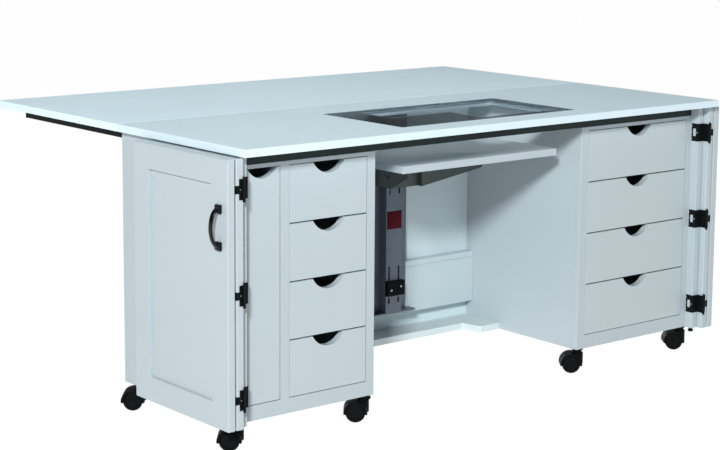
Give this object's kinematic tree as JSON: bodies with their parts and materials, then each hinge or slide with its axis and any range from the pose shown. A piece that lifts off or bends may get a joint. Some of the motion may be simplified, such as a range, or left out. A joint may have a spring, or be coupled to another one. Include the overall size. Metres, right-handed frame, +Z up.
{
  "type": "sewing table",
  "caption": "Long sewing table: two drawer pedestals on casters, fold-back doors, machine opening with a lift platform under it, and a rear drop leaf.",
  "frame": {"origin": "on the floor, under the centre of the open top (main top and raised rear leaf together)", "axes": "+X along the table's length to the operator's right, +Y away from the operator towards the rear leaf, +Z up"},
  "size_m": [1.7564, 1.1665, 0.73],
  "materials": {
    "white_board": "satin white laminate on board",
    "dark_board": "matt dark grey-green laminate",
    "galvanised_steel": "galvanised",
    "painted_steel": "satin dark olive-grey paint",
    "black_steel": "satin black",
    "black_plastic": "moulded, fine grain",
    "clear_acrylic": "clear, polished"
  },
  "bodies": {
    "cabinet": {"main_top": "white_board", "left_outer_side": "white_board", "right_outer_side": "white_board", "left_inner_side": "white_board", "right_inner_side": "white_board", "left_floor": "white_board", "right_floor": "white_board", "left_divider": "white_board", "back_panel": "white_board", "left_face_frame": "white_board", "right_face_frame": "white_board", "knee_ledge_front": "white_board", "knee_ledge_top": "white_board", "foot_shelf": "white_board", "front_apron": "dark_board", "leaf_bracket_left": "black_steel", "leaf_bracket_right": "black_steel", "left_lower_hinge": "black_steel", "left_middle_hinge": "black_steel", "left_upper_hinge": "black_steel", "right_lower_hinge": "black_steel", "right_middle_hinge": "black_steel", "right_upper_hinge": "black_steel", "lift_mast": "galvanised_steel", "mast_stop": "black_plastic"},
    "insert": {"clear_insert": "clear_acrylic"},
    "leaf": {"rear_leaf": "white_board", "leaf_rail_left": "black_steel", "leaf_rail_right": "black_steel"},
    "lift": {"lift_platform": "white_board", "lift_carriage": "painted_steel"},
    "left_drawer_1": {"left_drawer_1": "white_board"},
    "left_drawer_2": {"left_drawer_2": "white_board"},
    "left_drawer_3": {"left_drawer_3": "white_board"},
    "left_drawer_4": {"left_drawer_4": "white_board"},
    "right_drawer_1": {"right_drawer_1": "white_board"},
    "right_drawer_2": {"right_drawer_2": "white_board"},
    "right_drawer_3": {"right_drawer_3": "white_board"},
    "right_drawer_4": {"right_drawer_4": "white_board"},
    "tall_pullout": {"tall_pullout": "white_board"},
    "left_inner_door": {"left_inner_door": "white_board"},
    "left_outer_door": {"left_outer_door": "white_board", "left_door_panel": "white_board", "left_handle": "black_steel"},
    "right_inner_door": {"right_inner_door": "white_board"},
    "right_outer_door": {"right_outer_door": "white_board", "right_door_panel": "white_board", "right_handle": "black_steel"},
    "left_outer_front_caster": {"left_outer_front_caster": "black_plastic"},
    "left_outer_front_wheels": {"left_outer_front_wheels": "black_plastic"},
    "left_inner_front_caster": {"left_inner_front_caster": "black_plastic"},
    "left_inner_front_wheels": {"left_inner_front_wheels": "black_plastic"},
    "right_inner_front_caster": {"right_inner_front_caster": "black_plastic"},
    "right_inner_front_wheels": {"right_inner_front_wheels": "black_plastic"},
    "right_outer_front_caster": {"right_outer_front_caster": "black_plastic"},
    "right_outer_front_wheels": {"right_outer_front_wheels": "black_plastic"},
    "left_outer_rear_caster": {"left_outer_rear_caster": "black_plastic"},
    "left_outer_rear_wheels": {"left_outer_rear_wheels": "black_plastic"},
    "right_outer_rear_caster": {"right_outer_rear_caster": "black_plastic"},
    "right_outer_rear_wheels": {"right_outer_rear_wheels": "black_plastic"}
  },
  "joints": [
    {"name": "insert_lift_off", "type": "slide", "parent": "cabinet", "child": "insert", "axis": [0, 0, 1], "range_m": [0, 0.05]},
    {"name": "leaf_fold", "type": "hinge", "parent": "cabinet", "child": "leaf", "pos_m": [0, -0.03375, 0.6965], "axis": [-1, 0, 0], "range_deg": [0, 90]},
    {"name": "machine_lift", "type": "slide", "parent": "cabinet", "child": "lift", "axis": [0, 0, 1], "range_m": [-0.264, 0.09]},
    {"name": "left_drawer_1_slide", "type": "slide", "parent": "cabinet", "child": "left_drawer_1", "axis": [0, -1, 0], "range_m": [0, 0.35]},
    {"name": "left_drawer_2_slide", "type": "slide", "parent": "cabinet", "child": "left_drawer_2", "axis": [0, -1, 0], "range_m": [0, 0.35]},
    {"name": "left_drawer_3_slide", "type": "slide", "parent": "cabinet", "child": "left_drawer_3", "axis": [0, -1, 0], "range_m": [0, 0.35]},
    {"name": "left_drawer_4_slide", "type": "slide", "parent": "cabinet", "child": "left_drawer_4", "axis": [0, -1, 0], "range_m": [0, 0.35]},
    {"name": "right_drawer_1_slide", "type": "slide", "parent": "cabinet", "child": "right_drawer_1", "axis": [0, -1, 0], "range_m": [0, 0.35]},
    {"name": "right_drawer_2_slide", "type": "slide", "parent": "cabinet", "child": "right_drawer_2", "axis": [0, -1, 0], "range_m": [0, 0.35]},
    {"name": "right_drawer_3_slide", "type": "slide", "parent": "cabinet", "child": "right_drawer_3", "axis": [0, -1, 0], "range_m": [0, 0.35]},
    {"name": "right_drawer_4_slide", "type": "slide", "parent": "cabinet", "child": "right_drawer_4", "axis": [0, -1, 0], "range_m": [0, 0.35]},
    {"name": "tall_pullout_slide", "type": "slide", "parent": "cabinet", "child": "tall_pullout", "axis": [0, -1, 0], "range_m": [0, 0.35]},
    {"name": "left_door_swing", "type": "hinge", "parent": "cabinet", "child": "left_inner_door", "pos_m": [-0.8065, -0.56375, 0.38685], "axis": [0, 0, -1], "range_deg": [-270, 0]},
    {"name": "left_door_fold", "type": "hinge", "parent": "left_inner_door", "child": "left_outer_door", "pos_m": [-0.8277, -0.15925, 0.38685], "axis": [0, 0, 1], "range_deg": [-180.1, 0]},
    {"name": "right_door_swing", "type": "hinge", "parent": "cabinet", "child": "right_inner_door", "pos_m": [0.8065, -0.56375, 0.38685], "axis": [0, 0, 1], "range_deg": [-270, 0]},
    {"name": "right_door_fold", "type": "hinge", "parent": "right_inner_door", "child": "right_outer_door", "pos_m": [0.8277, -0.15925, 0.38685], "axis": [0, 0, -1], "range_deg": [-180.1, 0]},
    {"name": "left_outer_front_swivel", "type": "hinge", "parent": "cabinet", "child": "left_outer_front_caster", "pos_m": [-0.7815, -0.49775, 0.057], "axis": [0, 0, 1], "continuous": true},
    {"name": "left_outer_front_roll", "type": "hinge", "parent": "left_outer_front_caster", "child": "left_outer_front_wheels", "pos_m": [-0.79549, -0.48642, 0.025], "axis": [0.6293, 0.7771, 0], "continuous": true},
    {"name": "left_inner_front_swivel", "type": "hinge", "parent": "cabinet", "child": "left_inner_front_caster", "pos_m": [-0.3995, -0.49775, 0.057], "axis": [0, 0, 1], "continuous": true},
    {"name": "left_inner_front_roll", "type": "hinge", "parent": "left_inner_front_caster", "child": "left_inner_front_wheels", "pos_m": [-0.41349, -0.48642, 0.025], "axis": [0.6293, 0.7771, 0], "continuous": true},
    {"name": "right_inner_front_swivel", "type": "hinge", "parent": "cabinet", "child": "right_inner_front_caster", "pos_m": [0.3615, -0.49775, 0.057], "axis": [0, 0, 1], "continuous": true},
    {"name": "right_inner_front_roll", "type": "hinge", "parent": "right_inner_front_caster", "child": "right_inner_front_wheels", "pos_m": [0.34751, -0.48642, 0.025], "axis": [0.6293, 0.7771, 0], "continuous": true},
    {"name": "right_outer_front_swivel", "type": "hinge", "parent": "cabinet", "child": "right_outer_front_caster", "pos_m": [0.7815, -0.49775, 0.057], "axis": [0, 0, 1], "continuous": true},
    {"name": "right_outer_front_roll", "type": "hinge", "parent": "right_outer_front_caster", "child": "right_outer_front_wheels", "pos_m": [0.76751, -0.48642, 0.025], "axis": [0.6293, 0.7771, 0], "continuous": true},
    {"name": "left_outer_rear_swivel", "type": "hinge", "parent": "cabinet", "child": "left_outer_rear_caster", "pos_m": [-0.7815, -0.07175, 0.057], "axis": [0, 0, 1], "continuous": true},
    {"name": "left_outer_rear_roll", "type": "hinge", "parent": "left_outer_rear_caster", "child": "left_outer_rear_wheels", "pos_m": [-0.79549, -0.06042, 0.025], "axis": [0.6293, 0.7771, 0], "continuous": true},
    {"name": "right_outer_rear_swivel", "type": "hinge", "parent": "cabinet", "child": "right_outer_rear_caster", "pos_m": [0.7815, -0.07175, 0.057], "axis": [0, 0, 1], "continuous": true},
    {"name": "right_outer_rear_roll", "type": "hinge", "parent": "right_outer_rear_caster", "child": "right_outer_rear_wheels", "pos_m": [0.76751, -0.06042, 0.025], "axis": [0.6293, 0.7771, 0], "continuous": true}
  ],
  "couplings": [
    {"joint": "left_door_fold", "follows": "left_door_swing", "ratio": 0.66667},
    {"joint": "right_door_fold", "follows": "right_door_swing", "ratio": 0.66667}
  ]
}
